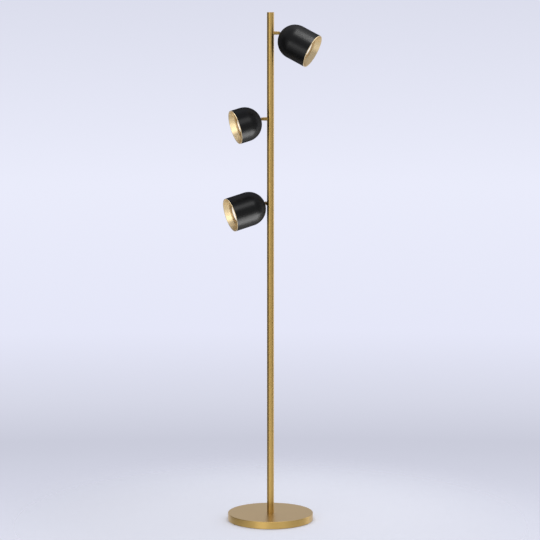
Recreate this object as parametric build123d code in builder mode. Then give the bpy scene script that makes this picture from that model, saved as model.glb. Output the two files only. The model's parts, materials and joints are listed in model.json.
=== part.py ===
from build123d import *
from math import cos, radians, sin, sqrt
import os

# Tree floor lamp: a round pole on a weighted disc base, with three short arms.
# Each arm carries a dome-ended tubular shade on a swivel and tilt knuckle.
# Millimetres. Origin: centre of the base's underside, on the pole's axis, +Z up.
# The front of the lamp faces -Y, with +X to the right.

os.makedirs("parts", exist_ok=True)

# ---- Driving dimensions -------------------------------------------------

# pole
total_height = 1524.0
pole_radius = 10.5
pole_wall = 1.2
section_length = 500.0  # lower and middle pole sections
coupler_length = 50.0
coupler_bore = 6.5
section_fit = 0.05  # round pieces pushed into the pole
cap_thickness = 1.5
cap_spigot = 10.0
cap_edge_round = 0.3

# base
base_radius = 128.5
base_height = 22.0
cover_wall = 1.2
cover_edge_round = 1.6
cover_lift = 1.0  # the cover's lower edge stands this far off the floor
pad_radius = 121.0
pad_thickness = 2.0
plate_thickness = 1.0
weight_side_gap = 0.5
weight_web = 4.6  # iron left over the nut's recess
pocket_roof = 4.2  # iron left over the driver's pocket

# what holds the pole to the base
stud_radius = 8.0
stud_bore = 5.6
stud_plug_length = 24.0
nut_across_flats = 22.0
nut_height = 6.0
nut_flange_radius = 14.5
nut_flange_height = 1.4
nut_recess_radius = 16.5
stud_clearance = 0.15
stud_beyond_nut = 0.5

# base screws
base_screw_radius = 2.0
base_screw_length = 10.0
base_screw_head_radius = 3.4
base_screw_head = 0.9
base_screw_circle = 95.0
base_screw_count = 3
base_screw_start = 30.0  # angle of the first screw from +X
screw_hole_spare = 1.0
pad_hole_gap = 0.4

# driver and cord inlet
driver_width = 44.0
driver_length = 70.0
driver_height = 12.6
driver_start = 34.0  # distance behind the pole's axis
driver_corner = 3.0
pocket_gap = 0.5
inlet_height = 10.5
inlet_bore = 3.2
grommet_radius = 4.5
grommet_flange_radius = 6.0
grommet_flange = 1.4
grommet_gap = 0.2
inlet_channel_width = 13.0

# arms
top_arm_drop = 61.0  # below the top of the pole
arm_spacing = 252.5
arm_radius = 5.0
arm_thread_radius = 4.0
pivot_reach = 24.5  # from the pole's axis to the tilt pin
block_start = 4.5  # flat face of the half-round block inside the pole
block_height = 14.0
thread_inset = 0.5  # the arm's end stops this far inside its block
thread_runout = 1.25
lead_hole = 1.5

# knuckle
fork_length = 6.4  # from the fork's shoulder to the tilt pin
shank_radius = 2.97
shank_length = 8.0
shank_clearance = 0.05
shank_bore_relief = 0.4
shoulder_gap = 0.1
groove_radius = 2.2
groove_width = 2.0
grub_radius = 1.5
grub_tip_radius = 0.8
grub_tip_gap = 0.2
slot_width = 3.4
slot_depth = 4.1
pin_radius = 1.5
pin_clearance = 0.05
pin_seat = 4.2  # flats for the screw's head and end
pin_seat_radius = 3.2
screw_head_radius = 2.7
screw_head_height = 1.6
screw_socket = 2.0
screw_socket_depth = 0.9
tongue_thickness = 3.0
tongue_eye_radius = 3.6
tongue_half_width = 3.5
wire_channel = 1.2
boss_radius = 4.5
boss_gap = 0.3  # from the fork's tip to the boss
neck_length = 6.5  # from the tilt pin to the dome
bracket_stud_radius = 3.0
bracket_stud_length = 14.0

# shades
shade_radius = 51.0
shade_wall = 1.0
long_tube = 61.5  # straight part of the top and bottom shades
short_tube = 31.0  # straight part of the middle shade
lip_height = 1.5
lip_round = 0.5

# reflector, measured inwards from the mouth
reflector_wall = 0.9
reflector_gap = 0.2
reflector_mouth_radius = 49.2
reflector_throat_radius = 42.2
reflector_depth = 15.0
bead_width = 1.0
bead_height = 0.8
ledge_depth = 19.2
ledge_thickness = 1.0

# ribbed trim ring and diffuser
trim_height = 3.0
trim_flat = 1.4
trim_inner_radius = 26.2
trim_inner_height = 1.0
trim_gap = 0.2
rib_count = 60
rib_groove_width = 1.2
rib_groove_depth = 0.7
rib_inset = 0.6  # the grooves stop this far inside the flat rim
rib_overrun = 0.8  # and run out through the ring's bore
diffuser_crown = 0.9
diffuser_flange_radius = 28.3
diffuser_gap = 0.3

# light source
sink_radius = 36.0
sink_ring_inner = 25.0
sink_ring_height = 6.4
sink_plate = 3.4
sink_fin_height = 16.0
sink_fin_thickness = 1.6
sink_fin_pitch = 8.0
sink_fin_count = 9
sink_boss_radius = 8.0
sink_boss_height = 8.0
board_radius = 23.5
board_thickness = 1.6
chip_size = 3.0
chip_height = 0.8
chip_pitch = 10.0
chip_rows = 3
stem_radius = 5.0
stem_bore = 2.0
stem_grip = 6.5  # length of stem held in the heat sink
stem_bore_spare = 1.0

# wires
lead_radius = 1.2
lead_floor_bend = 5.0
lead_height = 5.0  # height of the leads under the stud
lead_channel_width = 12.0
lead_end_gap = 1.0

# ---- Places worked out from them ----------------------------------------

pole_bore = pole_radius - pole_wall
pole_foot = base_height
cap_seat = total_height - cap_thickness
insert_radius = pole_bore - section_fit
lower_seam = pole_foot + section_length
upper_seam = lower_seam + section_length

plate_top = pad_thickness + plate_thickness
weight_top = base_height - cover_wall
weight_radius = base_radius - cover_wall - weight_side_gap
recess_top = weight_top - weight_web
stud_end = recess_top - nut_height - stud_beyond_nut
pocket_top = weight_top - pocket_roof

fork_shoulder = pivot_reach - fork_length
arm_end = fork_shoulder - shoulder_gap
shank_start = fork_shoulder - shank_length
shank_bore_start = shank_start - shank_bore_relief
arm_start = block_start + thread_inset
groove_place = (arm_end + pole_radius) / 2

dome_inner_radius = shade_radius - shade_wall
stem_seat = shade_radius - sqrt(dome_inner_radius**2 - stem_radius**2)
diffuser_radius = trim_inner_radius - trim_gap
diffuser_seat = ledge_depth + ledge_thickness
sink_face = diffuser_seat + sink_ring_height
sink_back = sink_face + sink_plate
throat_edge = reflector_throat_radius - bead_width
trim_face = ledge_depth - trim_height

# Each head: the arm's direction, the shade's direction and dip, seen from above
# and counted from +X towards +Y, and where its lead stands in the pole.
top_arm = total_height - top_arm_drop
heads = {
    "top": dict(height=top_arm, arm=-19.0, shade=-19.0, dip=26.7, tube=long_tube, lead=-4.0),
    "middle": dict(
        height=top_arm - arm_spacing, arm=198.0, shade=198.0, dip=15.6, tube=short_tube, lead=-3.0
    ),
    "bottom": dict(
        height=top_arm - 2 * arm_spacing, arm=120.0, shade=200.3, dip=15.6, tube=long_tube, lead=-0.6
    ),
}


def heading(azimuth, dip=0.0):
    """Unit vector with a compass angle from +X and a dip below the horizontal."""
    flat = cos(radians(dip))
    return Vector(flat * cos(radians(azimuth)), flat * sin(radians(azimuth)), -sin(radians(dip)))


def arm_axis(head):
    return heading(head["arm"])


def shade_axis(head):
    return heading(head["shade"], head["dip"])


def pin_axis(head):
    return arm_axis(head).cross(shade_axis(head)).normalized()


def pivot(head):
    return Vector(0, 0, head["height"]) + arm_axis(head) * pivot_reach


def arm_section(head, distance):
    """Plane across the arm, this far from the pole's axis."""
    return Plane(
        origin=Vector(0, 0, head["height"]) + arm_axis(head) * distance,
        x_dir=Vector(0, 0, 1),
        z_dir=arm_axis(head),
    )


def fork_side(head):
    """Plane through the tilt pin with x along the arm and z along the pin."""
    return Plane(origin=pivot(head), x_dir=arm_axis(head), z_dir=pin_axis(head))


def tongue_side(head):
    """Plane through the tilt pin with x along the shade and z along the pin."""
    return Plane(origin=pivot(head), x_dir=shade_axis(head), z_dir=pin_axis(head))


def shade_section(head, distance):
    """Plane across the shade, this far from the tilt pin."""
    return Plane(
        origin=pivot(head) + shade_axis(head) * distance,
        x_dir=pin_axis(head),
        z_dir=shade_axis(head),
    )


def shade_line(head):
    return Axis(pivot(head), shade_axis(head))


def mouth(head):
    """Distance from the tilt pin to the shade's mouth."""
    return neck_length + shade_radius + head["tube"]


def mouth_profile(head):
    """Plane with x inwards from the shade's mouth and y outwards from its axis."""
    return Plane(
        origin=pivot(head) + shade_axis(head) * mouth(head),
        x_dir=shade_axis(head) * -1,
        z_dir=pin_axis(head) * -1,
    )


def write(builder, name):
    builder.part.label = name
    export_step(builder.part, f"parts/{name}.step")


# ---- Base ---------------------------------------------------------------


def make_base_cover():
    with BuildPart() as base_cover:
        with BuildSketch(Plane.XY.offset(cover_lift)):
            Circle(base_radius)
        extrude(amount=base_height - cover_lift)
        fillet(base_cover.edges().group_by(Axis.Z)[-1], cover_edge_round)
        with BuildSketch(Plane.XY.offset(cover_lift)):
            Circle(base_radius - cover_wall)
        extrude(amount=weight_top - cover_lift, mode=Mode.SUBTRACT)
        with BuildSketch(Plane.XY):
            Circle(stud_radius + stud_clearance)
        extrude(amount=base_height, mode=Mode.SUBTRACT)
        with BuildSketch(Plane((0, 0, inlet_height), x_dir=(1, 0, 0), z_dir=(0, 1, 0))):
            Circle(grommet_radius)
        extrude(amount=base_radius + grommet_flange, mode=Mode.SUBTRACT)
    write(base_cover, "base_cover")


def make_base_weight():
    pocket_length = driver_length + 2 * pocket_gap
    pocket_middle = driver_start + driver_length / 2
    channel_length = weight_radius - driver_start
    with BuildPart() as base_weight:
        with BuildSketch(Plane.XY.offset(plate_top)):
            Circle(weight_radius)
        extrude(amount=weight_top - plate_top)
        with BuildSketch(Plane.XY.offset(plate_top)):
            Circle(stud_radius + stud_clearance)
        extrude(amount=weight_top - plate_top, mode=Mode.SUBTRACT)
        with BuildSketch(Plane.XY.offset(plate_top)):
            Circle(nut_recess_radius)
        extrude(amount=recess_top - plate_top, mode=Mode.SUBTRACT)
        with BuildSketch(Plane.XY.offset(plate_top)):
            with Locations((0, pocket_middle)):
                Rectangle(driver_width + 2 * pocket_gap, pocket_length)
            with Locations((0, driver_start + channel_length / 2 + grommet_flange)):
                Rectangle(inlet_channel_width, channel_length)
        extrude(amount=pocket_top - plate_top, mode=Mode.SUBTRACT)
        with BuildSketch(Plane.XY.offset(plate_top)):
            with Locations((0, driver_start / 2)):
                Rectangle(lead_channel_width, driver_start + pocket_gap)
        extrude(amount=lead_height + 2 * lead_radius - plate_top, mode=Mode.SUBTRACT)
        with BuildSketch(Plane.XY.offset(plate_top)):
            with PolarLocations(base_screw_circle, base_screw_count, base_screw_start):
                Circle(base_screw_radius)
        extrude(amount=base_screw_length + screw_hole_spare, mode=Mode.SUBTRACT)
    write(base_weight, "base_weight")


def make_base_plate():
    with BuildPart() as base_plate:
        with BuildSketch(Plane.XY.offset(pad_thickness)):
            Circle(weight_radius)
            with PolarLocations(base_screw_circle, base_screw_count, base_screw_start):
                Circle(base_screw_radius, mode=Mode.SUBTRACT)
        extrude(amount=plate_thickness)
    write(base_plate, "base_plate")


def make_base_pad():
    with BuildPart() as base_pad:
        with BuildSketch(Plane.XY):
            Circle(pad_radius)
            with PolarLocations(base_screw_circle, base_screw_count, base_screw_start):
                Circle(base_screw_head_radius + pad_hole_gap, mode=Mode.SUBTRACT)
        extrude(amount=pad_thickness)
    write(base_pad, "base_pad")


def make_base_screws():
    with BuildPart() as base_screws:
        with BuildSketch(Plane.XY.offset(pad_thickness)):
            with PolarLocations(base_screw_circle, base_screw_count, base_screw_start):
                Circle(base_screw_radius)
        extrude(amount=plate_thickness + base_screw_length)
        with BuildSketch(Plane.XY.offset(pad_thickness)):
            with PolarLocations(base_screw_circle, base_screw_count, base_screw_start):
                Circle(base_screw_head_radius)
        extrude(amount=-base_screw_head)
    write(base_screws, "base_screws")


def make_led_driver():
    with BuildPart() as led_driver:
        with BuildSketch(Plane.XY.offset(plate_top)):
            with Locations((0, driver_start + driver_length / 2)):
                RectangleRounded(driver_width, driver_length, driver_corner)
        extrude(amount=driver_height)
    write(led_driver, "led_driver")


def make_cord_grommet():
    inside = base_radius - cover_wall - grommet_flange - grommet_gap
    with BuildPart() as cord_grommet:
        with BuildSketch(Plane((0, inside, inlet_height), x_dir=(1, 0, 0), z_dir=(0, 1, 0))):
            Circle(grommet_radius)
        extrude(amount=base_radius + grommet_flange - inside)
        with BuildSketch(Plane((0, inside, inlet_height), x_dir=(1, 0, 0), z_dir=(0, 1, 0))):
            Circle(grommet_flange_radius)
        extrude(amount=grommet_flange)
        with BuildSketch(Plane((0, base_radius, inlet_height), x_dir=(1, 0, 0), z_dir=(0, 1, 0))):
            Circle(grommet_flange_radius)
        extrude(amount=grommet_flange)
        with BuildSketch(Plane((0, inside, inlet_height), x_dir=(1, 0, 0), z_dir=(0, 1, 0))):
            Circle(inlet_bore)
        extrude(amount=base_radius + grommet_flange - inside, mode=Mode.SUBTRACT)
    write(cord_grommet, "cord_grommet")


def make_pole_foot_stud():
    with BuildPart() as pole_foot_stud:
        with BuildSketch(Plane.XY.offset(stud_end)):
            Circle(stud_radius)
        extrude(amount=pole_foot - stud_end)
        with BuildSketch(Plane.XY.offset(pole_foot)):
            Circle(insert_radius)
        extrude(amount=stud_plug_length)
        with BuildSketch(Plane.XY.offset(stud_end)):
            Circle(stud_bore)
        extrude(amount=pole_foot + stud_plug_length - stud_end, mode=Mode.SUBTRACT)
    write(pole_foot_stud, "pole_foot_stud")


def make_pole_nut():
    with BuildPart() as pole_nut:
        with BuildSketch(Plane.XY.offset(recess_top - nut_height)):
            RegularPolygon(nut_across_flats / 2, 6, major_radius=False)
        extrude(amount=nut_height)
        with BuildSketch(Plane.XY.offset(recess_top - nut_flange_height)):
            Circle(nut_flange_radius)
        extrude(amount=nut_flange_height)
        with BuildSketch(Plane.XY.offset(recess_top - nut_height)):
            Circle(stud_radius)
        extrude(amount=nut_height, mode=Mode.SUBTRACT)
    write(pole_nut, "pole_nut")


# ---- Pole ---------------------------------------------------------------


def make_pole_section(name, bottom, top):
    with BuildPart() as pole_section:
        with BuildSketch(Plane.XY.offset(bottom)):
            Circle(pole_radius)
            Circle(pole_bore, mode=Mode.SUBTRACT)
        extrude(amount=top - bottom)
        for head in heads.values():
            if bottom < head["height"] < top:
                with BuildSketch(arm_section(head, 0)):
                    Circle(arm_thread_radius + section_fit)
                extrude(amount=2 * pole_radius, mode=Mode.SUBTRACT)
    write(pole_section, name)


def make_coupler(name, seam):
    with BuildPart() as coupler:
        with BuildSketch(Plane.XY.offset(seam - coupler_length / 2)):
            Circle(insert_radius)
            Circle(coupler_bore, mode=Mode.SUBTRACT)
        extrude(amount=coupler_length)
    write(coupler, name)


def make_pole_cap():
    with BuildPart() as pole_cap:
        with BuildSketch(Plane.XY.offset(cap_seat)):
            Circle(pole_radius)
        extrude(amount=cap_thickness)
        fillet(pole_cap.edges().group_by(Axis.Z)[-1], cap_edge_round)
        with BuildSketch(Plane.XY.offset(cap_seat)):
            Circle(insert_radius)
        extrude(amount=-cap_spigot)
    write(pole_cap, "pole_cap")


# ---- Arm and knuckle ----------------------------------------------------


def make_arm_block(name, head):
    with BuildPart() as arm_block:
        with BuildSketch(Plane.XY.offset(head["height"] - block_height / 2)):
            Circle(insert_radius)
        extrude(amount=block_height)
        with BuildSketch(arm_section(head, block_start)):
            Rectangle(2 * block_height, 4 * pole_radius)
        extrude(amount=-2 * pole_radius, mode=Mode.SUBTRACT)
        with BuildSketch(arm_section(head, 0)):
            Circle(arm_thread_radius)
        extrude(amount=2 * pole_radius, mode=Mode.SUBTRACT)
    write(arm_block, f"{name}_arm_block")


def make_arm(name, head):
    with BuildPart() as arm:
        with BuildSketch(arm_section(head, 0)):
            Circle(arm_radius)
        extrude(amount=arm_end)
        with BuildSketch(Plane.XY.offset(head["height"] - 2 * arm_radius)):
            Circle(pole_radius)
        extrude(amount=4 * arm_radius, mode=Mode.SUBTRACT)
        with BuildSketch(arm_section(head, arm_start)):
            Circle(arm_thread_radius)
        extrude(amount=pole_radius + thread_runout - arm_start)
        with BuildSketch(arm_section(head, arm_start)):
            Circle(lead_hole)
        extrude(amount=arm_end - arm_start, mode=Mode.SUBTRACT)
        with BuildSketch(arm_section(head, shank_bore_start)):
            Circle(shank_radius + shank_clearance)
        extrude(amount=arm_end - shank_bore_start, mode=Mode.SUBTRACT)
        with BuildSketch(grub_plane(head)):
            Circle(grub_radius)
        extrude(amount=2 * arm_radius, mode=Mode.SUBTRACT)
    write(arm, f"{name}_arm")


def grub_plane(head):
    """Plane on the arm's axis at the groove, facing down."""
    return Plane(
        origin=Vector(0, 0, head["height"]) + arm_axis(head) * groove_place,
        x_dir=arm_axis(head),
        z_dir=Vector(0, 0, -1),
    )


def make_grub_screw(name, head):
    tip = groove_radius + grub_tip_gap
    body = shank_radius + 2 * shank_clearance
    with BuildPart() as grub_screw:
        with BuildSketch(grub_plane(head).offset(tip)):
            Circle(grub_tip_radius)
        extrude(amount=body - tip)
        with BuildSketch(grub_plane(head).offset(body)):
            Circle(grub_radius)
        extrude(amount=arm_radius - body - grub_tip_gap)
    write(grub_screw, f"{name}_grub_screw")


def make_yoke(name, head):
    side = fork_side(head)
    with BuildPart() as yoke:
        with BuildSketch(arm_section(head, fork_shoulder)):
            Circle(arm_radius)
        extrude(amount=fork_length + arm_radius)
        with BuildSketch(side):
            with Locations((-fork_length / 2, 0)):
                Rectangle(fork_length, 2 * arm_radius)
            Circle(arm_radius)
        extrude(amount=arm_radius, both=True, mode=Mode.INTERSECT)
        with BuildSketch(arm_section(head, shank_start)):
            Circle(shank_radius)
        extrude(amount=shank_length)
        with BuildSketch(arm_section(head, groove_place - groove_width / 2)):
            Circle(shank_radius + shank_clearance)
            Circle(groove_radius, mode=Mode.SUBTRACT)
        extrude(amount=groove_width, mode=Mode.SUBTRACT)
        with BuildSketch(arm_section(head, shank_start)):
            Circle(lead_hole)
        extrude(amount=shank_length + fork_length, mode=Mode.SUBTRACT)
        with BuildSketch(side):
            with Locations((arm_radius - slot_depth, 0)):
                Rectangle(2 * arm_radius, 4 * arm_radius)
        extrude(amount=slot_width / 2, both=True, mode=Mode.SUBTRACT)
        with BuildSketch(side):
            Circle(pin_radius)
        extrude(amount=2 * arm_radius, both=True, mode=Mode.SUBTRACT)
        with BuildSketch(side.offset(pin_seat), side.offset(-2 * pin_seat)):
            Circle(pin_seat_radius)
        extrude(amount=pin_seat, mode=Mode.SUBTRACT)
    write(yoke, f"{name}_yoke")


def make_pivot_screw(name, head):
    side = fork_side(head)
    with BuildPart() as pivot_screw:
        with BuildSketch(side):
            Circle(pin_radius)
        extrude(amount=pin_seat, both=True)
        with BuildSketch(side.offset(-pin_seat)):
            Circle(screw_head_radius)
        extrude(amount=-screw_head_height)
        with BuildSketch(side.offset(-pin_seat - screw_head_height)):
            RegularPolygon(screw_socket / 2, 6, major_radius=False)
        extrude(amount=screw_socket_depth, mode=Mode.SUBTRACT)
    write(pivot_screw, f"{name}_pivot_screw")


def make_bracket(name, head):
    side = tongue_side(head)
    boss_start = arm_radius + boss_gap
    dome_centre = pivot(head) + shade_axis(head) * (neck_length + shade_radius)
    dome = Sphere(shade_radius, mode=Mode.PRIVATE).moved(Location(dome_centre))
    with BuildPart() as bracket:
        with BuildSketch(side):
            Circle(tongue_eye_radius)
            with Locations((boss_start / 2 + boss_gap, 0)):
                Rectangle(boss_start + boss_gap, 2 * tongue_half_width)
        extrude(amount=tongue_thickness / 2, both=True)
        with BuildSketch(shade_section(head, boss_start)):
            Circle(boss_radius)
        extrude(amount=neck_length - boss_start + shade_wall)
        add(dome, mode=Mode.SUBTRACT)
        with BuildSketch(side):
            Circle(pin_radius + pin_clearance)
        extrude(amount=tongue_thickness, both=True, mode=Mode.SUBTRACT)
        with BuildSketch(side):
            with Locations((boss_gap, 0)):
                Rectangle(2 * boss_start, 2 * tongue_eye_radius + 2 * boss_gap)
        extrude(amount=wire_channel / 2, both=True, mode=Mode.SUBTRACT)
        with BuildSketch(shade_section(head, boss_start + boss_gap)):
            Circle(bracket_stud_radius)
        extrude(amount=neck_length + bracket_stud_length - boss_start - boss_gap)
        with BuildSketch(shade_section(head, boss_start)):
            Circle(lead_hole)
        extrude(amount=neck_length + bracket_stud_length - boss_start, mode=Mode.SUBTRACT)
    write(bracket, f"{name}_bracket")


# ---- Shade and light source ---------------------------------------------


def make_shade(name, head):
    tube_end = shade_radius + head["tube"] - lip_height
    diagonal = sqrt(0.5)  # the arcs' middle points lie at 45 degrees
    with BuildPart() as shade:
        with BuildSketch(tongue_side(head).shift_origin(shade_section(head, neck_length).origin)):
            with BuildLine():
                ThreePointArc(
                    (0, 0),
                    (shade_radius * (1 - diagonal), shade_radius * diagonal),
                    (shade_radius, shade_radius),
                )
                Polyline(
                    (shade_radius, shade_radius),
                    (tube_end, shade_radius),
                    (tube_end, dome_inner_radius),
                    (shade_radius, dome_inner_radius),
                )
                ThreePointArc(
                    (shade_radius, dome_inner_radius),
                    (shade_radius - dome_inner_radius * diagonal, dome_inner_radius * diagonal),
                    (shade_wall, 0),
                )
                Line((shade_wall, 0), (0, 0))
            make_face()
        revolve(axis=shade_line(head))
        with BuildSketch(shade_section(head, neck_length - shade_wall)):
            Circle(bracket_stud_radius)
        extrude(amount=3 * shade_wall, mode=Mode.SUBTRACT)
    write(shade, f"{name}_shade")


def make_stem(name, head):
    start = neck_length + stem_seat
    end = mouth(head) - sink_back - sink_boss_height + stem_grip
    grip_end = neck_length + bracket_stud_length + stem_bore_spare
    with BuildPart() as stem:
        with BuildSketch(shade_section(head, start)):
            Circle(stem_radius)
            Circle(stem_bore, mode=Mode.SUBTRACT)
        extrude(amount=end - start)
        with BuildSketch(shade_section(head, start)):
            Circle(bracket_stud_radius)
        extrude(amount=grip_end - start, mode=Mode.SUBTRACT)
    write(stem, f"{name}_stem")


def make_reflector(name, head):
    wall_outer = dome_inner_radius - reflector_gap
    with BuildPart() as reflector:
        with BuildSketch(mouth_profile(head)):
            with BuildLine():
                Polyline(
                    (0, reflector_mouth_radius + lip_round),
                    (0, shade_radius - lip_round),
                    (lip_round, shade_radius),
                    (lip_height, shade_radius),
                    (lip_height, wall_outer),
                    (reflector_depth, reflector_throat_radius + reflector_wall),
                    (diffuser_seat, reflector_throat_radius),
                    (diffuser_seat, diffuser_flange_radius + diffuser_gap),
                    (ledge_depth, diffuser_flange_radius + diffuser_gap),
                    (ledge_depth, throat_edge),
                    (reflector_depth + bead_height, throat_edge),
                    (reflector_depth, reflector_throat_radius),
                    (lip_round, reflector_mouth_radius),
                    (0, reflector_mouth_radius + lip_round),
                )
            make_face()
        revolve(axis=shade_line(head))
    write(reflector, f"{name}_reflector")


def make_trim_ring(name, head):
    outer = throat_edge - trim_gap
    rib_outer = outer - trim_flat
    with BuildPart() as trim_ring:
        with BuildSketch(mouth_profile(head)):
            with BuildLine():
                Polyline(
                    (ledge_depth, trim_inner_radius),
                    (ledge_depth, outer),
                    (trim_face, outer),
                    (trim_face, rib_outer),
                    (ledge_depth - trim_inner_height, trim_inner_radius),
                    (ledge_depth, trim_inner_radius),
                )
            make_face()
        revolve(axis=shade_line(head))
        face = mouth_profile(head)
        rim_point = face.from_local_coords(Vector(trim_face, rib_outer, 0))
        bore_point = face.from_local_coords(Vector(ledge_depth - trim_inner_height, trim_inner_radius, 0))
        slope = bore_point - rim_point
        groove_start = rim_point + slope.normalized() * rib_inset
        groove_end = bore_point + slope.normalized() * rib_overrun
        groove_plane = Plane(
            origin=(groove_start + groove_end) / 2, x_dir=slope, z_dir=slope.cross(pin_axis(head))
        )
        groove = Box(
            (groove_end - groove_start).length,
            rib_groove_width,
            2 * rib_groove_depth,
            mode=Mode.PRIVATE,
        )
        placed = groove.moved(groove_plane.location)
        grooves = [placed.rotate(shade_line(head), 360 / rib_count * n) for n in range(rib_count)]
        add(grooves, mode=Mode.SUBTRACT)
    write(trim_ring, f"{name}_trim_ring")


def make_diffuser(name, head):
    edge = ledge_depth - trim_inner_height
    half_way = edge - diffuser_crown * 3 / 4  # a shallow dome has three quarters of its rise here
    with BuildPart() as diffuser:
        with BuildSketch(mouth_profile(head)):
            with BuildLine():
                ThreePointArc(
                    (edge - diffuser_crown, 0),
                    (half_way, diffuser_radius / 2),
                    (edge, diffuser_radius),
                )
                Polyline(
                    (edge, diffuser_radius),
                    (ledge_depth, diffuser_radius),
                    (ledge_depth, diffuser_flange_radius),
                    (diffuser_seat, diffuser_flange_radius),
                    (diffuser_seat, 0),
                    (edge - diffuser_crown, 0),
                )
            make_face()
        revolve(axis=shade_line(head))
    write(diffuser, f"{name}_diffuser")


def make_heat_sink(name, head):
    fin_span = (sink_fin_count - 1) * sink_fin_pitch
    face = mouth(head)
    with BuildPart() as heat_sink:
        with BuildSketch(shade_section(head, face - diffuser_seat)):
            Circle(sink_radius)
        extrude(amount=-(sink_ring_height + sink_plate))
        with BuildSketch(shade_section(head, face - diffuser_seat)):
            Circle(sink_ring_inner)
        extrude(amount=-sink_ring_height, mode=Mode.SUBTRACT)
        with BuildSketch(shade_section(head, face - sink_back)):
            for n in range(sink_fin_count):
                offset_across = -fin_span / 2 + n * sink_fin_pitch
                half_length = sqrt(max(sink_radius**2 - (abs(offset_across) + sink_fin_thickness) ** 2, 0))
                with Locations((offset_across, 0)):
                    Rectangle(sink_fin_thickness, 2 * half_length)
        extrude(amount=-sink_fin_height)
        with BuildSketch(shade_section(head, face - sink_back)):
            Circle(sink_boss_radius)
        extrude(amount=-sink_boss_height)
        with BuildSketch(shade_section(head, face - sink_back - sink_boss_height)):
            Circle(sink_boss_radius)
        extrude(amount=-(sink_fin_height - sink_boss_height), mode=Mode.SUBTRACT)
        with BuildSketch(shade_section(head, face - sink_back - sink_boss_height)):
            Circle(stem_radius)
        extrude(amount=stem_grip, mode=Mode.SUBTRACT)
        with BuildSketch(shade_section(head, face - sink_back - sink_boss_height)):
            Circle(lead_hole)
        extrude(amount=sink_boss_height + sink_plate, mode=Mode.SUBTRACT)
    write(heat_sink, f"{name}_heat_sink")


def make_led_board(name, head):
    with BuildPart() as led_board:
        with BuildSketch(shade_section(head, mouth(head) - sink_face)):
            Circle(board_radius)
        extrude(amount=board_thickness)
        with BuildSketch(shade_section(head, mouth(head) - sink_face + board_thickness)):
            with GridLocations(chip_pitch, chip_pitch, chip_rows, chip_rows):
                Rectangle(chip_size, chip_size)
        extrude(amount=chip_height)
    write(led_board, f"{name}_led_board")


# ---- Wires --------------------------------------------------------------


def make_lead(name, head):
    """Lead from the driver, under and up through the stud, up the pole and along the arm."""
    foot = arm_axis(head) * head["lead"]
    arm_height = Vector(0, 0, head["height"])
    arm_stop = arm_axis(head) * (pivot_reach - slot_depth - lead_end_gap)
    arm_bend = arm_start - head["lead"]
    with BuildPart() as lead:
        with BuildLine() as route:
            FilletPolyline(
                (foot.X, driver_start, lead_height),
                (foot.X, foot.Y, lead_height),
                foot + arm_height,
                arm_stop + arm_height,
                radius=(lead_floor_bend, arm_bend),
            )
        with BuildSketch(Plane((foot.X, driver_start, lead_height), x_dir=(1, 0, 0), z_dir=(0, -1, 0))):
            Circle(lead_radius)
        sweep(path=route.line)
    write(lead, f"{name}_lead")


def make_head_lead(name, head):
    start = neck_length + shade_wall
    with BuildPart() as head_lead:
        with BuildSketch(shade_section(head, start)):
            Circle(lead_radius)
        extrude(amount=mouth(head) - sink_face - start)
    write(head_lead, f"{name}_head_lead")


# ---- Build --------------------------------------------------------------

make_base_cover()
make_base_weight()
make_base_plate()
make_base_pad()
make_base_screws()
make_led_driver()
make_cord_grommet()
make_pole_foot_stud()
make_pole_nut()

make_pole_section("pole_lower", pole_foot, lower_seam)
make_pole_section("pole_middle", lower_seam, upper_seam)
make_pole_section("pole_upper", upper_seam, cap_seat)
make_coupler("coupler_lower", lower_seam)
make_coupler("coupler_upper", upper_seam)
make_pole_cap()

for name, head in heads.items():
    make_arm_block(name, head)
    make_arm(name, head)
    make_grub_screw(name, head)
    make_yoke(name, head)
    make_pivot_screw(name, head)
    make_bracket(name, head)
    make_shade(name, head)
    make_stem(name, head)
    make_heat_sink(name, head)
    make_led_board(name, head)
    make_reflector(name, head)
    make_trim_ring(name, head)
    make_diffuser(name, head)
    make_lead(name, head)
    make_head_lead(name, head)
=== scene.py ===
import bpy
import bmesh
import json
import math
from mathutils import Matrix, Vector


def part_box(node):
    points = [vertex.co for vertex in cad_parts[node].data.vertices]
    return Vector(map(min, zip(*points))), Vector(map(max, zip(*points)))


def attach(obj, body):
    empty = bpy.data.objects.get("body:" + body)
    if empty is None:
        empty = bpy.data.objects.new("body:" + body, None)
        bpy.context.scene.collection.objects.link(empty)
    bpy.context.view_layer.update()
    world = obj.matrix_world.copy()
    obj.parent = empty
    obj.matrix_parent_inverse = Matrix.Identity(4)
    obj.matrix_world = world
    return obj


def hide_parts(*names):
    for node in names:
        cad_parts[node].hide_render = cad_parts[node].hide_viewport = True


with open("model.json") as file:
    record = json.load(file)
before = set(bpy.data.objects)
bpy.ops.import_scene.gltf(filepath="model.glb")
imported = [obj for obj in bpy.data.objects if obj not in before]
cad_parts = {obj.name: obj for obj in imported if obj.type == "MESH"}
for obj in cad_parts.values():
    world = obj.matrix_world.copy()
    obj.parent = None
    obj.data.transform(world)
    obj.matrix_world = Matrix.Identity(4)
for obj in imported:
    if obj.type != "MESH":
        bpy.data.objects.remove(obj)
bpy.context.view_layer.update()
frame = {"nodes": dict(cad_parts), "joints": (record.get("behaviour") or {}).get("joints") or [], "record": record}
print("frame loaded:", len(frame["nodes"]), "nodes")

mm = 0.001
upright = Matrix.Identity(4)
headNames = ("top", "middle", "bottom")


def jointNamed(name):
    return next(joint for joint in frame["joints"] if joint["name"] == name)


def boxMiddle(node):
    low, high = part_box(node)
    return (low + high) / 2


def reachAlong(node, origin, direction):  # nearest and farthest point of a node along a line, in mm
    places = [(v.co - origin).dot(direction) / mm for v in frame["nodes"][node].data.vertices]
    return min(places), max(places)


def widestRadius(node, origin, direction):
    away = [v.co - origin for v in frame["nodes"][node].data.vertices]
    return max((a - direction * a.dot(direction)).length for a in away) / mm


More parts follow.
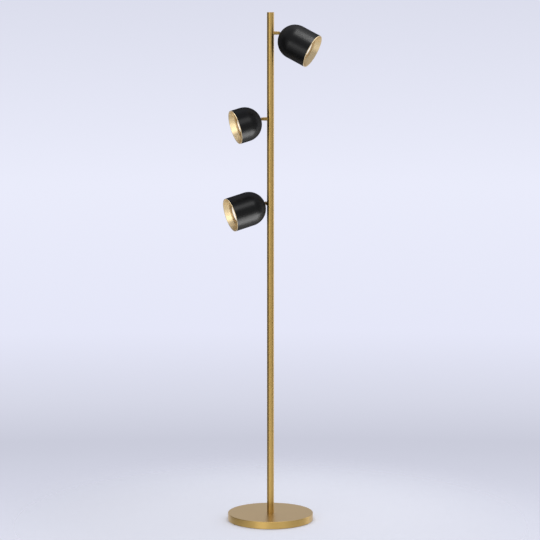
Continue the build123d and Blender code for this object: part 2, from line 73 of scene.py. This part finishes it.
def placeAlong(origin, forward, side):  # local +Z along forward, +X along side
    across = forward.cross(side).normalized()
    turned = Matrix((across.cross(forward).normalized(), across, forward)).transposed()
    return Matrix.Translation(origin) @ turned.to_4x4()


def measureHead(name):
    pin = Vector(jointNamed(name + "_shade_tilt")["pos_m"])
    armLine = Vector(jointNamed(name + "_swivel_turn")["axis"]).normalized()
    pinLine = Vector(jointNamed(name + "_shade_tilt")["axis"]).normalized()
    shadeLine = (boxMiddle(name + "_head_lead") - pin).normalized()  # this lead lies on the shade's axis
    apex, tubeEnd = reachAlong(name + "_shade", pin, shadeLine)
    return {
        "pin": pin,
        "pinReach": pin.xy.length / mm,
        "armLine": armLine,
        "armPlace": placeAlong(pin, armLine, pinLine),
        "shadePlace": placeAlong(pin, shadeLine, pinLine),
        "shadeRadius": widestRadius(name + "_shade", pin, shadeLine),
        "apex": apex,
        "tubeEnd": tubeEnd,
        "mouth": reachAlong(name + "_reflector", pin, shadeLine)[1],
    }


heads = {name: measureHead(name) for name in headNames}
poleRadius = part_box("pole_lower")[1].x / mm
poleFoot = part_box("pole_lower")[0].z / mm
poleSeams = [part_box(node)[1].z / mm for node in ("pole_lower", "pole_middle")]
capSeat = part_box("pole_upper")[1].z / mm
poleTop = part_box("pole_cap")[1].z / mm
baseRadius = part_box("base_cover")[1].x / mm


meshing = {"sharpAngle": 40, "brokenAngle": 50, "flatAngle": 1,  # degrees between two faces at an edge
           "cornerSteps": 5, "edgeSteps": 2, "weld": 0.001, "nodeWeld": 0.0005}  # welds in mm


def finishPiece(name, bm, place, material, body, nodes):  # a mesh in mm becomes a piece in its place
    bmesh.ops.transform(bm, matrix=place @ Matrix.Scale(mm, 4), verts=bm.verts)
    mesh = bpy.data.meshes.new(name)
    bm.to_mesh(mesh)
    bm.free()
    mesh.polygons.foreach_set("use_smooth", [True] * len(mesh.polygons))
    mesh.set_sharp_from_angle(angle=math.radians(meshing["sharpAngle"]))
    mesh.materials.append(material)
    piece = bpy.data.objects.new(name, mesh)
    bpy.context.scene.collection.objects.link(piece)
    even = piece.modifiers.new("evenNormals", "WEIGHTED_NORMAL")
    even.keep_sharp = True
    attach(piece, body)
    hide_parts(*nodes)


def lathe(outline, steps):  # outline: (radius, height) or (radius, height, corner) in mm, spun about Z
    bm = bmesh.new()
    points = [bm.verts.new((point[0], 0, point[1])) for point in outline]
    solid = outline[0][0] == 0 and outline[-1][0] == 0
    ends = points[1:] if solid else points[1:] + points[:1]
    for start, end in zip(points, ends):
        bm.edges.new((start, end))
    for corner in sorted({point[2] for point in outline if len(point) > 2}):
        rounded = [v for v, point in zip(points, outline) if len(point) > 2 and point[2] == corner]
        bmesh.ops.bevel(bm, geom=rounded, offset=corner, offset_type="OFFSET", affect="VERTICES",
                        segments=meshing["cornerSteps"], profile=0.5, material=-1)
    bmesh.ops.spin(bm, geom=bm.verts[:] + bm.edges[:], cent=(0, 0, 0), axis=(0, 0, 1), dvec=(0, 0, 0),
                   angle=math.tau, steps=steps, use_merge=True, use_duplicate=False)
    bmesh.ops.remove_doubles(bm, verts=bm.verts, dist=meshing["weld"])
    bmesh.ops.recalc_face_normals(bm, faces=bm.faces)
    return bm


def arc(centre, radius, start, end, count):  # an outline's points, between two angles in degrees
    turns = [math.radians(start + (end - start) * n / count) for n in range(count + 1)]
    return [(max(centre[0] + radius * math.cos(t), 0), centre[1] + radius * math.sin(t)) for t in turns]


def easeNode(node, name, material, body, edge):  # a small CAD piece with its sharp edges broken
    bm = bmesh.new()
    bm.from_mesh(frame["nodes"][node].data)
    bmesh.ops.transform(bm, matrix=Matrix.Scale(1 / mm, 4), verts=bm.verts)
    bmesh.ops.remove_doubles(bm, verts=bm.verts, dist=meshing["nodeWeld"])
    flat, broken = math.radians(meshing["flatAngle"]), math.radians(meshing["brokenAngle"])
    bmesh.ops.dissolve_limit(bm, angle_limit=flat, verts=bm.verts, edges=bm.edges)
    sharp = [e for e in bm.edges if e.is_manifold and e.calc_face_angle() > broken]
    bmesh.ops.bevel(bm, geom=sharp, offset=edge, offset_type="OFFSET", affect="EDGES",
                    segments=meshing["edgeSteps"], profile=0.5, material=-1, clamp_overlap=True)
    bmesh.ops.triangulate(bm, faces=[f for f in bm.faces if len(f.verts) > 4])
    finishPiece(name, bm, upright, material, body, [node])


def fromHex(code):  # sRGB hex to linear RGBA
    channels = [int(code[i:i + 2], 16) / 255 for i in (1, 3, 5)]
    linear = [c / 12.92 if c <= 0.04045 else ((c + 0.055) / 1.055) ** 2.4 for c in channels]
    return (*linear, 1)


def addNode(tree, kind, sockets=None, **settings):
    node = tree.nodes.new("ShaderNode" + kind)
    for key, value in settings.items():
        setattr(node, key, value)
    for key, value in (sockets or {}).items():
        if isinstance(value, bpy.types.NodeSocket):
            tree.links.new(value, node.inputs[key])
        else:
            node.inputs[key].default_value = value
    return node


def startMaterial(name, **sockets):  # sockets: the shader's constants, with underscores for spaces
    material = bpy.data.materials.new(name)
    material.use_nodes = True
    shader = material.node_tree.nodes["Principled BSDF"]
    for key, value in sockets.items():
        shader.inputs[key.replace("_", " ")].default_value = value
    return material, material.node_tree, shader


def grainCoords(tree, place=upright, stretch=(1, 1, 1)):  # object coordinates in m, turned to a piece's axis
    coords = addNode(tree, "TexCoord")
    back = place.inverted()
    turned = addNode(tree, "Mapping", {"Vector": coords.outputs["Object"],
                                       "Location": back.to_translation(), "Rotation": back.to_euler()})
    return addNode(tree, "Mapping", {"Vector": turned.outputs[0], "Scale": stretch}).outputs[0]


def darkened(code, share):
    return [c * share for c in fromHex(code)[:3]] + [1]


def dressShader(tree, shader, tone, gloss, height, finish):  # height: a pattern that stands depth mm high
    relief = addNode(tree, "Bump", {"Height": height, "Strength": finish["relief"],
                                    "Distance": finish["depth"] * mm})
    tree.links.new(tone, shader.inputs["Base Color"])
    tree.links.new(gloss, shader.inputs["Roughness"])
    tree.links.new(relief.outputs["Normal"], shader.inputs["Normal"])


satinBrass = {"colour": "#D6B268", "shade": "#CEAA60", "cloud": (14, 14, 4),  # clouds of shade per metre
              "roughness": 0.33, "uneven": 0.015, "lacquer": 0.25, "lacquerRoughness": 0.4,
              "grain": 1.0, "grainLength": 150, "depth": 0.02, "relief": 0.008}  # lengths in mm


def makeSatinBrass(name, along=2, darker=1.0):  # along: the axis that the brushing follows; darker: a share of the colour, below 1 for painted shade
    # brass-plated steel, brushed and lacquered: a warm satin metal, faintly streaked along the brushing.
    # Real brush marks are about 0.1 mm wide, too fine to show, so they are drawn 1 mm wide.
    brass = satinBrass
    material, tree, shader = startMaterial(name, Metallic=1, Coat_Weight=brass["lacquer"],
                                           Coat_Roughness=brass["lacquerRoughness"])
    stretch = [1 / (brass["grain"] * mm)] * 3
    stretch[along] = 1 / (brass["grainLength"] * mm)
    lines = addNode(tree, "TexNoise", {"Vector": grainCoords(tree, stretch=stretch), "Scale": 1, "Detail": 3})
    broad = addNode(tree, "TexNoise", {"Vector": grainCoords(tree, stretch=brass["cloud"]), "Scale": 1})
    tint = addNode(tree, "Mix", {"Factor": broad.outputs["Fac"], "A": darkened(brass["colour"], darker),
                                 "B": darkened(brass["shade"], darker)}, data_type="RGBA")
    gloss = addNode(tree, "MapRange", {"Value": lines.outputs["Fac"],
                                       "From Min": 0.25, "From Max": 0.75,  # the noise's usual range
                                       "To Min": brass["roughness"] - brass["uneven"],
                                       "To Max": brass["roughness"] + brass["uneven"]})
    dressShader(tree, shader, tint.outputs["Result"], gloss.outputs["Result"], lines.outputs["Fac"], brass)
    return material


powderCoat = {"colour": "#090909", "shade": "#0C0C0B", "cloud": 25,  # clouds of shade per metre
              "specular": 0.15, "roughness": 0.31, "uneven": 0.03,
              "slantRoughness": 0.85, "slantStart": 0.25, "slantEnd": 0.75,  # 0 is seen face on, 1 edge on
              "peel": 1.2, "peelSoftness": 0.4, "depth": 0.03, "relief": 0.08}  # peel and depth in mm


def makePowderCoat():
    # baked polyester powder on spun steel: deep satin black with a faint orange peel, whose real 0.5 mm
    # dimples are drawn 1.2 mm apart. At a low angle the dimples scatter the light, so the gloss dies there.
    coat = powderCoat
    material, tree, shader = startMaterial("blackPowderCoat", IOR=1.5, Specular_IOR_Level=coat["specular"])
    peel = addNode(tree, "TexNoise", {"Vector": grainCoords(tree), "Scale": 1 / (coat["peel"] * mm),
                                      "Detail": 2, "Roughness": coat["peelSoftness"]})
    broad = addNode(tree, "TexNoise", {"Vector": grainCoords(tree), "Scale": coat["cloud"]})
    tint = addNode(tree, "Mix", {"Factor": broad.outputs["Fac"], "A": fromHex(coat["colour"]),
                                 "B": fromHex(coat["shade"])}, data_type="RGBA")
    slant = addNode(tree, "LayerWeight")
    fade = addNode(tree, "MapRange", {"Value": slant.outputs["Facing"], "From Min": coat["slantStart"],
                                      "From Max": coat["slantEnd"], "To Min": coat["roughness"],
                                      "To Max": coat["slantRoughness"]})
    speckle = addNode(tree, "MapRange", {"Value": peel.outputs["Fac"], "To Min": -coat["uneven"],
                                         "To Max": coat["uneven"]})
    gloss = addNode(tree, "Math", {0: fade.outputs["Result"], 1: speckle.outputs["Result"]}, operation="ADD")
    dressShader(tree, shader, tint.outputs["Result"], gloss.outputs["Value"], peel.outputs["Fac"], coat)
    return material


goldAnodised = {"turned": 2.2, "cloud": 6, "stretch": 0.6, "smoother": 0.04, "rougher": 0.05,
                "depth": 0.03, "relief": 0.04}  # turned and depth in mm, clouds of shade per metre


def makeGoldAnodised(name, place, piece):  # piece: the dictionary with this piece's own tint and roughness
    # spun aluminium, gold anodised: pale satin metal with fine rings round its axis, whose real 0.2 mm feed
    # marks are drawn about 2 mm apart. The rings fan each highlight out along the axis.
    gold = goldAnodised
    material, tree, shader = startMaterial(name, Metallic=1, Anisotropic=gold["stretch"])
    axis = addNode(tree, "VectorTransform", {"Vector": place.to_3x3().col[2]}, vector_type="VECTOR",
                   convert_from="OBJECT", convert_to="WORLD")  # so the highlights turn with the head
    tree.links.new(axis.outputs["Vector"], shader.inputs["Tangent"])
    turned = addNode(tree, "SeparateXYZ", {"Vector": grainCoords(tree, place)})
    rings = addNode(tree, "TexNoise", {"W": turned.outputs["Z"], "Scale": 1 / (gold["turned"] * mm),
                                       "Detail": 2}, noise_dimensions="1D")
    cloud = addNode(tree, "TexNoise", {"Vector": grainCoords(tree, place), "Scale": gold["cloud"]})
    tint = addNode(tree, "Mix", {"Factor": cloud.outputs["Fac"], "A": fromHex(piece["colour"]),
                                 "B": fromHex(piece["shade"])}, data_type="RGBA")
    gloss = addNode(tree, "MapRange", {"Value": rings.outputs["Fac"],
                                       "To Min": piece["roughness"] - gold["smoother"],
                                       "To Max": piece["roughness"] + gold["rougher"]})
    dressShader(tree, shader, tint.outputs["Result"], gloss.outputs["Result"], rings.outputs["Fac"], gold)
    return material


stockSkin = {"darker": 0.92, "uneven": 0.05, "depth": 0.05, "relief": 0.15}  # depth in mm


def makeStock(name, colour, roughness, grain, **sockets):  # grain: the size in mm of the skin's speckle
    material, tree, shader = startMaterial(name, **sockets)
    skin = addNode(tree, "TexNoise", {"Vector": grainCoords(tree), "Scale": 1 / (grain * mm), "Detail": 3})
    tone = addNode(tree, "Mix", {"Factor": skin.outputs["Fac"], "A": fromHex(colour),
                                 "B": darkened(colour, stockSkin["darker"])}, data_type="RGBA")
    gloss = addNode(tree, "MapRange", {"Value": skin.outputs["Fac"],
                                       "To Min": roughness - stockSkin["uneven"],
                                       "To Max": roughness + stockSkin["uneven"]})
    dressShader(tree, shader, tone.outputs["Result"], gloss.outputs["Result"], skin.outputs["Fac"], stockSkin)
    return material


brassTube = makeSatinBrass("satinBrassTube")  # brushed along the tube
brassPressing = makeSatinBrass("satinBrassPressing", along=0)  # brushed across the disc
shadedBrassTurned = makeSatinBrass("satinBrassTurnedShaded", along=0, darker=0.5)  # turned small parts, darkened to half as painted shade: the arms stand in the black domes' shade and mirror them
blackPowder = makePowderCoat()
opalPlastic = makeStock("opalPolycarbonate", "#F6F5F2", 0.35, 1.0, Emission_Color=fromHex("#FFF8EE"),
                        Emission_Strength=0.55)  # moulded milky plastic, lit from behind
rubber = makeStock("sheetRubber", "#151515", 0.7, 0.6)  # matt black
castIron = makeStock("primedCastIron", "#262626", 0.75, 1.5)  # sand cast under black primer: rough and dull
zincSteel = makeStock("zincPlatedSteel", "#B9BBBD", 0.35, 0.8, Metallic=1)  # bluish bright metal
blackSteel = makeStock("blackenedSteel", "#1C1C1C", 0.5, 0.8)  # pressed sheet, dull black
castAluminium = makeStock("castAluminium", "#C4C5C7", 0.45, 0.9, Metallic=1)  # raw casting: soft grey metal
whiteMask = makeStock("whiteSolderMask", "#EDEDEA", 0.4, 0.5)  # satin white lacquer
whitePlastic = makeStock("mouldedWhitePlastic", "#DDDDD8", 0.45, 0.7)  # moulded case: even off-white
leadSleeve = makeStock("extrudedSleeve", "#E6E6E2", 0.4, 0.5)  # soft extruded insulation

slotMaterials = {
    "satin_brass_cover": brassPressing, "satin_brass_tube": brassTube, "satin_brass_arm": shadedBrassTurned,
    "satin_brass_screw": shadedBrassTurned, "black_powder_coat": blackPowder, "opal_diffuser": opalPlastic,
    "rubber_pad": rubber, "rubber_grommet": rubber, "cast_iron_weight": castIron, "steel_plate": blackSteel,
    "steel_insert": zincSteel, "zinc_fasteners": zincSteel, "sink_aluminium": castAluminium,
    "board_white": whiteMask, "driver_case": whitePlastic, "lead_sleeve": leadSleeve,
    "gold_reflector": brassPressing, "gold_trim": brassPressing,  # replaced below by pieces in their own gold
}
for entry in frame["record"]["subparts"]:
    mesh = frame["nodes"][entry["node"]].data
    mesh.materials.clear()
    mesh.materials.append(slotMaterials[entry["material_slot"]])
print("materials made:", len(bpy.data.materials))


baseCover = {"wall": 1.2, "lift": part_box("base_cover")[0].z / mm, "topRound": 1.6, "lowRound": 0.4,
             "steps": 256}


def makeBaseCover():
    wall, lift, top = baseCover["wall"], baseCover["lift"], poleFoot
    outline = [
        (poleRadius - wall, top), (baseRadius, top, baseCover["topRound"]),
        (baseRadius, lift, baseCover["lowRound"]), (baseRadius - wall, lift),
        (baseRadius - wall, top - wall), (poleRadius - wall, top - wall),
    ]
    finishPiece("baseCover", lathe(outline, baseCover["steps"]), upright, brassPressing, "stand",
                ["base_cover"])


basePad = {"edge": 0.6, "steps": 192}


def makeBasePad():
    low, high = [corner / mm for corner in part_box("base_pad")]
    outline = [(0, low.z), (high.x, low.z, basePad["edge"]), (high.x, high.z, basePad["edge"]), (0, high.z)]
    finishPiece("basePad", lathe(outline, basePad["steps"]), upright, rubber, "stand", ["base_pad"])


pole = {"wall": 1.2, "seamBreak": 0.12, "capRound": 0.35, "steps": 96}


def makePole():
    levels = [poleFoot] + poleSeams + [capSeat]
    for node, low, high in zip(("pole_lower", "pole_middle", "pole_upper"), levels, levels[1:]):
        inner, edge = poleRadius - pole["wall"], pole["seamBreak"]
        outline = [(poleRadius, low, edge), (poleRadius, high, edge), (inner, high), (inner, low)]
        name = "poleTube" + node.split("_")[1].capitalize()
        finishPiece(name, lathe(outline, pole["steps"]), upright, brassTube, "stand", [node])
    cap = [(0, capSeat), (poleRadius, capSeat, pole["seamBreak"]), (poleRadius, poleTop, pole["capRound"]),
           (0, poleTop)]
    finishPiece("poleCap", lathe(cap, pole["steps"]), upright, brassTube, "stand", ["pole_cap"])


cordGrommet = {"edge": 0.3}

makeBaseCover()
makeBasePad()
makePole()
easeNode("cord_grommet", "cordGrommet", rubber, "stand", cordGrommet["edge"])
print("base and pole made")


arm = {"radius": 5.0, "endEdge": 0.25, "hollow": 3.0, "rootSunk": 1.3, "steps": 64}


def makeArm(name, head):
    start = poleRadius - arm["rootSunk"] - head["pinReach"]
    end = reachAlong(name + "_arm", head["pin"], head["armLine"])[1]
    outline = [(arm["hollow"], start), (arm["radius"], start), (arm["radius"], end, arm["endEdge"]),
               (arm["hollow"], end)]
    finishPiece(name + "Arm", lathe(outline, arm["steps"]), head["armPlace"], shadedBrassTurned, "stand",
                [name + "_arm"])


knuckle = {"edge": 0.25, "screwEdge": 0.2}


def makeKnuckle(name):
    easeNode(name + "_yoke", name + "Yoke", shadedBrassTurned, name + "_swivel", knuckle["edge"])
    easeNode(name + "_pivot_screw", name + "PivotScrew", shadedBrassTurned, name + "_swivel",
             knuckle["screwEdge"])
    easeNode(name + "_bracket", name + "Bracket", shadedBrassTurned, name + "_head",
             knuckle["edge"])


shade = {"wall": 1.0, "stud": 3.0, "steps": 160, "domeSteps": 40}


def makeShade(name, head):
    outer, wall = head["shadeRadius"], shade["wall"]
    centre = (0, head["apex"] + outer)
    hole = math.degrees(math.asin(shade["stud"] / outer))
    outline = arc(centre, outer, -90 + hole, 0, shade["domeSteps"])
    outline += [(outer, head["tubeEnd"]), (outer - wall, head["tubeEnd"])]
    outline += arc(centre, outer - wall, 0, -90 + hole, shade["domeSteps"])
    finishPiece(name + "Shade", lathe(outline, shade["steps"]), head["shadePlace"], blackPowder,
                name + "_head", [name + "_shade"])


reflector = {"lip": 1.5, "lipRound": 0.5, "mouthRadius": 49.2, "throatRadius": 42.2, "depth": 15.0,
             "bead": 0.8, "beadWidth": 1.0, "beadRound": 0.4, "ledge": 19.2, "ledgeThickness": 1.0,
             "ledgeRadius": 28.6, "wall": 0.9, "gap": 0.2, "steps": 160,
             "colour": "#DFCAA0", "shade": "#D9C398", "roughness": 0.38}


def makeReflector(name, head):
    r, mouth, outer = reflector, head["mouth"], head["shadeRadius"]
    inside = outer - shade["wall"] - r["gap"]
    throat = r["throatRadius"] - r["beadWidth"]
    back = mouth - r["ledge"] - r["ledgeThickness"]
    outline = [
        (outer, mouth, r["lipRound"]), (outer, mouth - r["lip"]), (inside, mouth - r["lip"]),
        (r["throatRadius"] + r["wall"], mouth - r["depth"]), (r["throatRadius"], back),
        (r["ledgeRadius"], back), (r["ledgeRadius"], mouth - r["ledge"]), (throat, mouth - r["ledge"]),
        (throat, mouth - r["depth"] - r["bead"], r["beadRound"]),
        (r["throatRadius"], mouth - r["depth"], r["beadRound"]), (r["mouthRadius"], mouth, r["lipRound"]),
    ]
    gold = makeGoldAnodised(name + "ReflectorGold", head["shadePlace"], r)
    finishPiece(name + "Reflector", lathe(outline, r["steps"]), head["shadePlace"], gold, name + "_head",
                [name + "_reflector"])


trimRing = {"flat": 1.4, "inner": 26.2, "innerHeight": 1.0, "height": 3.0, "gap": 0.2, "edge": 0.3,
            "ribs": 60, "ribSteps": 3, "ribDepth": 0.7, "ribTaper": 0.15, "slopeBand": 1.0,
            "colour": "#E2CA9C", "shade": "#DCC192", "roughness": 0.5}


def makeTrimRing(name, head):
    t, mouth = trimRing, head["mouth"]
    outer = reflector["throatRadius"] - reflector["beadWidth"] - t["gap"]
    back = mouth - reflector["ledge"]
    outline = [(t["inner"], back), (outer, back), (outer, back + t["height"], t["edge"]),
               (outer - t["flat"], back + t["height"]), (t["inner"], back + t["innerHeight"])]
    bm = lathe(outline, t["ribs"] * t["ribSteps"])
    midway = (outer - t["flat"] + t["inner"]) / 2
    middles = [(f.calc_center_median(), f) for f in bm.faces]
    slope = [(c, f) for c, f in middles
             if abs(c.xy.length - midway) < t["slopeBand"] and c.z > back + t["innerHeight"]]
    slope.sort(key=lambda entry: math.atan2(entry[0].y, entry[0].x))
    grooves = [f for _, f in slope[::t["ribSteps"]]]  # one face of each rib's three becomes a groove
    bmesh.ops.inset_individual(bm, faces=grooves, thickness=t["ribTaper"], depth=-t["ribDepth"])
    gold = makeGoldAnodised(name + "TrimGold", head["shadePlace"], t)
    finishPiece(name + "TrimRing", bm, head["shadePlace"], gold, name + "_head", [name + "_trim_ring"])


diffuser = {"radius": 26.0, "edgeDepth": 18.2, "crown": 0.9, "flange": 28.3, "steps": 128, "crownSteps": 16}


def makeDiffuser(name, head):
    d, mouth = diffuser, head["mouth"]
    seat = mouth - reflector["ledge"]
    ball = (d["radius"] ** 2 + d["crown"] ** 2) / (2 * d["crown"])
    half = math.degrees(math.asin(d["radius"] / ball))
    back = seat - reflector["ledgeThickness"]
    outline = arc((0, mouth - d["edgeDepth"] + d["crown"] - ball), ball, 90, 90 - half, d["crownSteps"])
    outline += [(d["radius"], seat), (d["flange"], seat), (d["flange"], back), (0, back)]
    finishPiece(name + "Diffuser", lathe(outline, d["steps"]), head["shadePlace"], opalPlastic,
                name + "_head", [name + "_diffuser"])


for headName, headFacts in heads.items():
    makeArm(headName, headFacts)
    makeKnuckle(headName)
    makeShade(headName, headFacts)
    makeReflector(headName, headFacts)
    makeTrimRing(headName, headFacts)
    makeDiffuser(headName, headFacts)
print("heads made")


camera = {"focal": 143.3, "sensor": 36.0,  # mm
          "distance": 6.37, "height": 1.524, "aside": -0.0014, "dip": 6.84}  # m and degrees


def makeCamera():
    data = bpy.data.cameras.new("camera")
    data.lens = camera["focal"]
    data.sensor_width = camera["sensor"]
    data.sensor_fit = "HORIZONTAL"
    rig = bpy.data.objects.new("camera", data)
    rig.location = (camera["aside"], -camera["distance"], camera["height"])
    rig.rotation_euler = (math.radians(90 - camera["dip"]), 0, 0)
    bpy.context.scene.collection.objects.link(rig)
    bpy.context.scene.camera = rig


def awayFrom(azimuth, elevation):  # unit vector; azimuth in degrees from the camera's side, + to its right
    turn, lift = math.radians(azimuth), math.radians(elevation)
    return Vector((math.sin(turn) * math.cos(lift), -math.cos(turn) * math.cos(lift), math.sin(lift)))


lowShades = ("middleShade", "bottomShade")
lowMouths = ("middleReflector", "bottomReflector", "middleTrimRing", "bottomTrimRing")
lights = {  # from: azimuth and elevation in degrees. distance, size and aim: m. power: W
    # The two foot lights stand below the floor, which metal doesn't mirror, and light the brass from there.
    "ceiling": {"from": (0, 90), "distance": 2.4, "size": (2.4, 2.4), "power": 34, "aim": (0, 0, 0.9),
                "spares": ("topShade",) + lowShades},  # its light leaves these pieces out
    "leftStrip": {"from": (-28, 0), "distance": 2.4, "size": (0.9, 1.6), "power": 3.3, "aim": (0, 0, 1.15)},
    "leftFoot": {"from": (-24, 0), "distance": 2.4, "size": (1.3, 0.8), "power": 1.9, "aim": (0, 0, -0.65)},
    "frontFoot": {"from": (14, 0), "distance": 2.4, "size": (2.8, 0.7), "power": 1.4, "aim": (0, 0, -0.65)},
    "rightBack": {"from": (118, 0), "distance": 2.4, "size": (0.5, 2.6), "power": 4.0, "aim": (0, 0, 0.8)},
    "topKey": {"from": (33, 64), "distance": 1.8, "size": (1.3, 0.45), "power": 54, "aim": (0.1, 0, 1.42),
               "only": ("topShade",), "acrossHead": "top"},  # its long side goes round this head's tube
    "topFill": {"from": (-34, -11), "distance": 2.0, "size": (0.8, 1.0), "power": 9, "aim": (0.1, 0, 1.42),
                "only": ("topShade",)},
    "lowKey": {"from": (69, -46), "distance": 1.4, "size": (0.95, 0.95), "power": 37, "aim": (-0.1, 0, 1.05),
               "only": lowShades},
    "lowFill": {"from": (30, 43), "distance": 2.0, "size": (1.0, 0.8), "power": 13, "aim": (-0.1, 0, 0.95),
                "only": ("bottomShade",)},
    "middleFill": {"from": (26, 34), "distance": 2.0, "size": (1.2, 1.0), "power": 12, "aim": (-0.1, 0, 1.21),
                   "only": ("middleShade",)},
    "mouthGlow": {"from": (-38, 0), "distance": 2.4, "size": (2.2, 2.6), "power": 32, "aim": (-0.1, 0, 1.08),
                  "only": lowMouths},
}


def linkLight(lamp, pieces, state):
    linked = bpy.data.collections.new(lamp.name + "Lit")
    for piece in pieces:
        linked.objects.link(bpy.data.objects[piece])
    for entry in linked.collection_objects:
        entry.light_linking.link_state = state
    lamp.light_linking.receiver_collection = linked


def makeLight(name, facts):
    data = bpy.data.lights.new(name, "AREA")
    data.shape = "RECTANGLE"
    data.size, data.size_y = facts["size"]
    data.energy = facts["power"]
    azimuth, elevation = facts["from"]
    away = awayFrom(azimuth, elevation)
    side = awayFrom(azimuth + 90, 0)
    if "acrossHead" in facts:
        side = heads[facts["acrossHead"]]["shadePlace"].to_3x3().col[2].cross(away)
    lamp = bpy.data.objects.new(name, data)
    lamp.matrix_world = placeAlong(Vector(facts["aim"]) + away * facts["distance"], away, side)
    lamp.visible_camera = False
    bpy.context.scene.collection.objects.link(lamp)
    if "only" in facts:  # a flagged softbox, whose light reaches these pieces alone
        linkLight(lamp, facts["only"], "INCLUDE")
    if "spares" in facts:
        linkLight(lamp, facts["spares"], "EXCLUDE")


def stagePiece(name, bm, material):
    mesh = bpy.data.meshes.new(name)
    bm.to_mesh(mesh)
    bm.free()
    mesh.materials.append(material)
    piece = bpy.data.objects.new(name, mesh)
    bpy.context.scene.collection.objects.link(piece)
    return piece


flags = {  # azimuth in degrees, the rest in m
    "leftFlag": {"azimuth": -98, "distance": 1.1, "width": 1.6, "height": 2.3, "middle": 0.9,
                 "colour": "#6C6C70"},
    "rightFlag": {"azimuth": 78, "distance": 1.3, "width": 1.0, "height": 2.2, "middle": 1.0,
                  "colour": "#B4B4B6"},
}


def makeFlag(name, facts):  # an upright grey card that the metal reflects
    material = startMaterial(name + "Card", Base_Color=fromHex(facts["colour"]), Roughness=1,
                             Specular_IOR_Level=0)[0]
    bm = bmesh.new()
    bmesh.ops.create_grid(bm, x_segments=1, y_segments=1, size=0.5)  # 1 m square
    bmesh.ops.scale(bm, vec=(facts["width"], facts["height"], 1), verts=bm.verts)
    away = awayFrom(facts["azimuth"], 0)
    place = Matrix.Translation(away * facts["distance"] + Vector((0, 0, facts["middle"])))
    bmesh.ops.transform(bm, matrix=place @ away.to_track_quat("Z", "Y").to_matrix().to_4x4(), verts=bm.verts)
    card = stagePiece(name, bm, material)
    card.visible_camera = False


floorPaint = {"colour": "#F6F7FC", "radius": 2.0, "steps": 96, "fadeStart": 0.32, "fadeEnd": 1.0,  # m
              "level": -0.0003}  # just under the pad, so that the two don't coincide


def makeFloor():
    bm = bmesh.new()
    bmesh.ops.create_circle(bm, cap_ends=True, segments=floorPaint["steps"],
                            radius=floorPaint["radius"])
    bmesh.ops.translate(bm, vec=(0, 0, floorPaint["level"]), verts=bm.verts)
    material = bpy.data.materials.new("paleFloor")
    material.use_nodes = True
    tree = material.node_tree
    tree.nodes.clear()
    coords = addNode(tree, "TexCoord")
    away = addNode(tree, "VectorMath", {0: coords.outputs["Object"]}, operation="LENGTH")
    fade = addNode(tree, "MapRange", {"Value": away.outputs["Value"], "From Min": floorPaint["fadeStart"],
                                      "From Max": floorPaint["fadeEnd"]}, interpolation_type="SMOOTHSTEP")
    path = addNode(tree, "LightPath")
    hidden = addNode(tree, "Math", {0: fade.outputs["Result"], 1: path.outputs["Is Glossy Ray"]},
                     operation="MAXIMUM")  # metal shows the backdrop instead of the floor
    paint = addNode(tree, "BsdfDiffuse", {"Color": fromHex(floorPaint["colour"])})
    clear = addNode(tree, "BsdfTransparent")
    mixed = addNode(tree, "MixShader", {0: hidden.outputs[0], 1: paint.outputs[0], 2: clear.outputs[0]})
    addNode(tree, "OutputMaterial", {"Surface": mixed.outputs[0]})
    stagePiece("floor", bm, material)


backdrop = {"low": -30.0, "high": 40.0,  # both halves' colours stand at degrees of elevation between these
            "behind": ((-30, "#EAEBF2"), (-15, "#E6E7F2"), (-13.6, "#DDDFEE"), (-12.7, "#D4D6E5"),
                       (-11.4, "#C9CBDA"), (-10.3, "#D6D8E7"), (-8.5, "#E5E7F8"), (-4.5, "#EAECFB"),
                       (0.3, "#DCDEED"), (5, "#C8CAD6"), (14, "#BDBFC9"), (40, "#D2D4DF")),
            "before": ((-30, "#F6F7FC"), (-13.2, "#F2F3F8"), (-12.2, "#B4B5BC"), (-10, "#3C3D40"),
                       (-7, "#4C4D50"), (-4.5, "#DCDDE4"), (-2, "#EDEEF5"), (3, "#D2D3DA"),
                       (14, "#C0C2CC"), (40, "#D2D4DF")),
            "turnStart": -0.2, "turnEnd": 0.5}  # one half turns into the other here: 0 is sideways, 1 behind


def rampOf(tree, level, stops, low, high):
    ramp = addNode(tree, "ValToRGB", {"Fac": level})
    while len(ramp.color_ramp.elements) < len(stops):
        ramp.color_ramp.elements.new(1)
    for element, (elevation, code) in zip(ramp.color_ramp.elements, stops):
        element.position = (math.sin(math.radians(elevation)) - low) / (high - low)
        element.color = fromHex(code)
    return ramp.outputs["Color"]


def makeWorld():
    world = bpy.data.worlds.new("studio")
    bpy.context.scene.world = world
    world.use_nodes = True
    tree = world.node_tree
    tree.nodes.clear()
    coords = addNode(tree, "TexCoord")
    parts = addNode(tree, "SeparateXYZ", {"Vector": coords.outputs["Generated"]})
    low, high = (math.sin(math.radians(backdrop[key])) for key in ("low", "high"))
    level = addNode(tree, "MapRange", {"Value": parts.outputs["Z"], "From Min": low, "From Max": high})
    behind, before = (rampOf(tree, level.outputs["Result"], backdrop[half], low, high)
                      for half in ("behind", "before"))
    turn = addNode(tree, "MapRange", {"Value": parts.outputs["Y"], "From Min": backdrop["turnStart"],
                                      "From Max": backdrop["turnEnd"]})
    path = addNode(tree, "LightPath")
    seen = addNode(tree, "Math", {0: turn.outputs["Result"], 1: path.outputs["Is Camera Ray"]},
                   operation="MAXIMUM")  # the background is the same pale one from every side
    both = addNode(tree, "Mix", {"Factor": seen.outputs[0], "A": before, "B": behind}, data_type="RGBA")
    shown = addNode(tree, "Background", {"Color": both.outputs["Result"], "Strength": 1.0})
    addNode(tree, "OutputWorld", {"Surface": shown.outputs[0]})


makeCamera()
makeFloor()
makeWorld()
for lightName, lightFacts in lights.items():
    makeLight(lightName, lightFacts)
for flagName, flagFacts in flags.items():
    makeFlag(flagName, flagFacts)
bpy.context.scene.view_settings.view_transform = "Standard"
print("studio made")
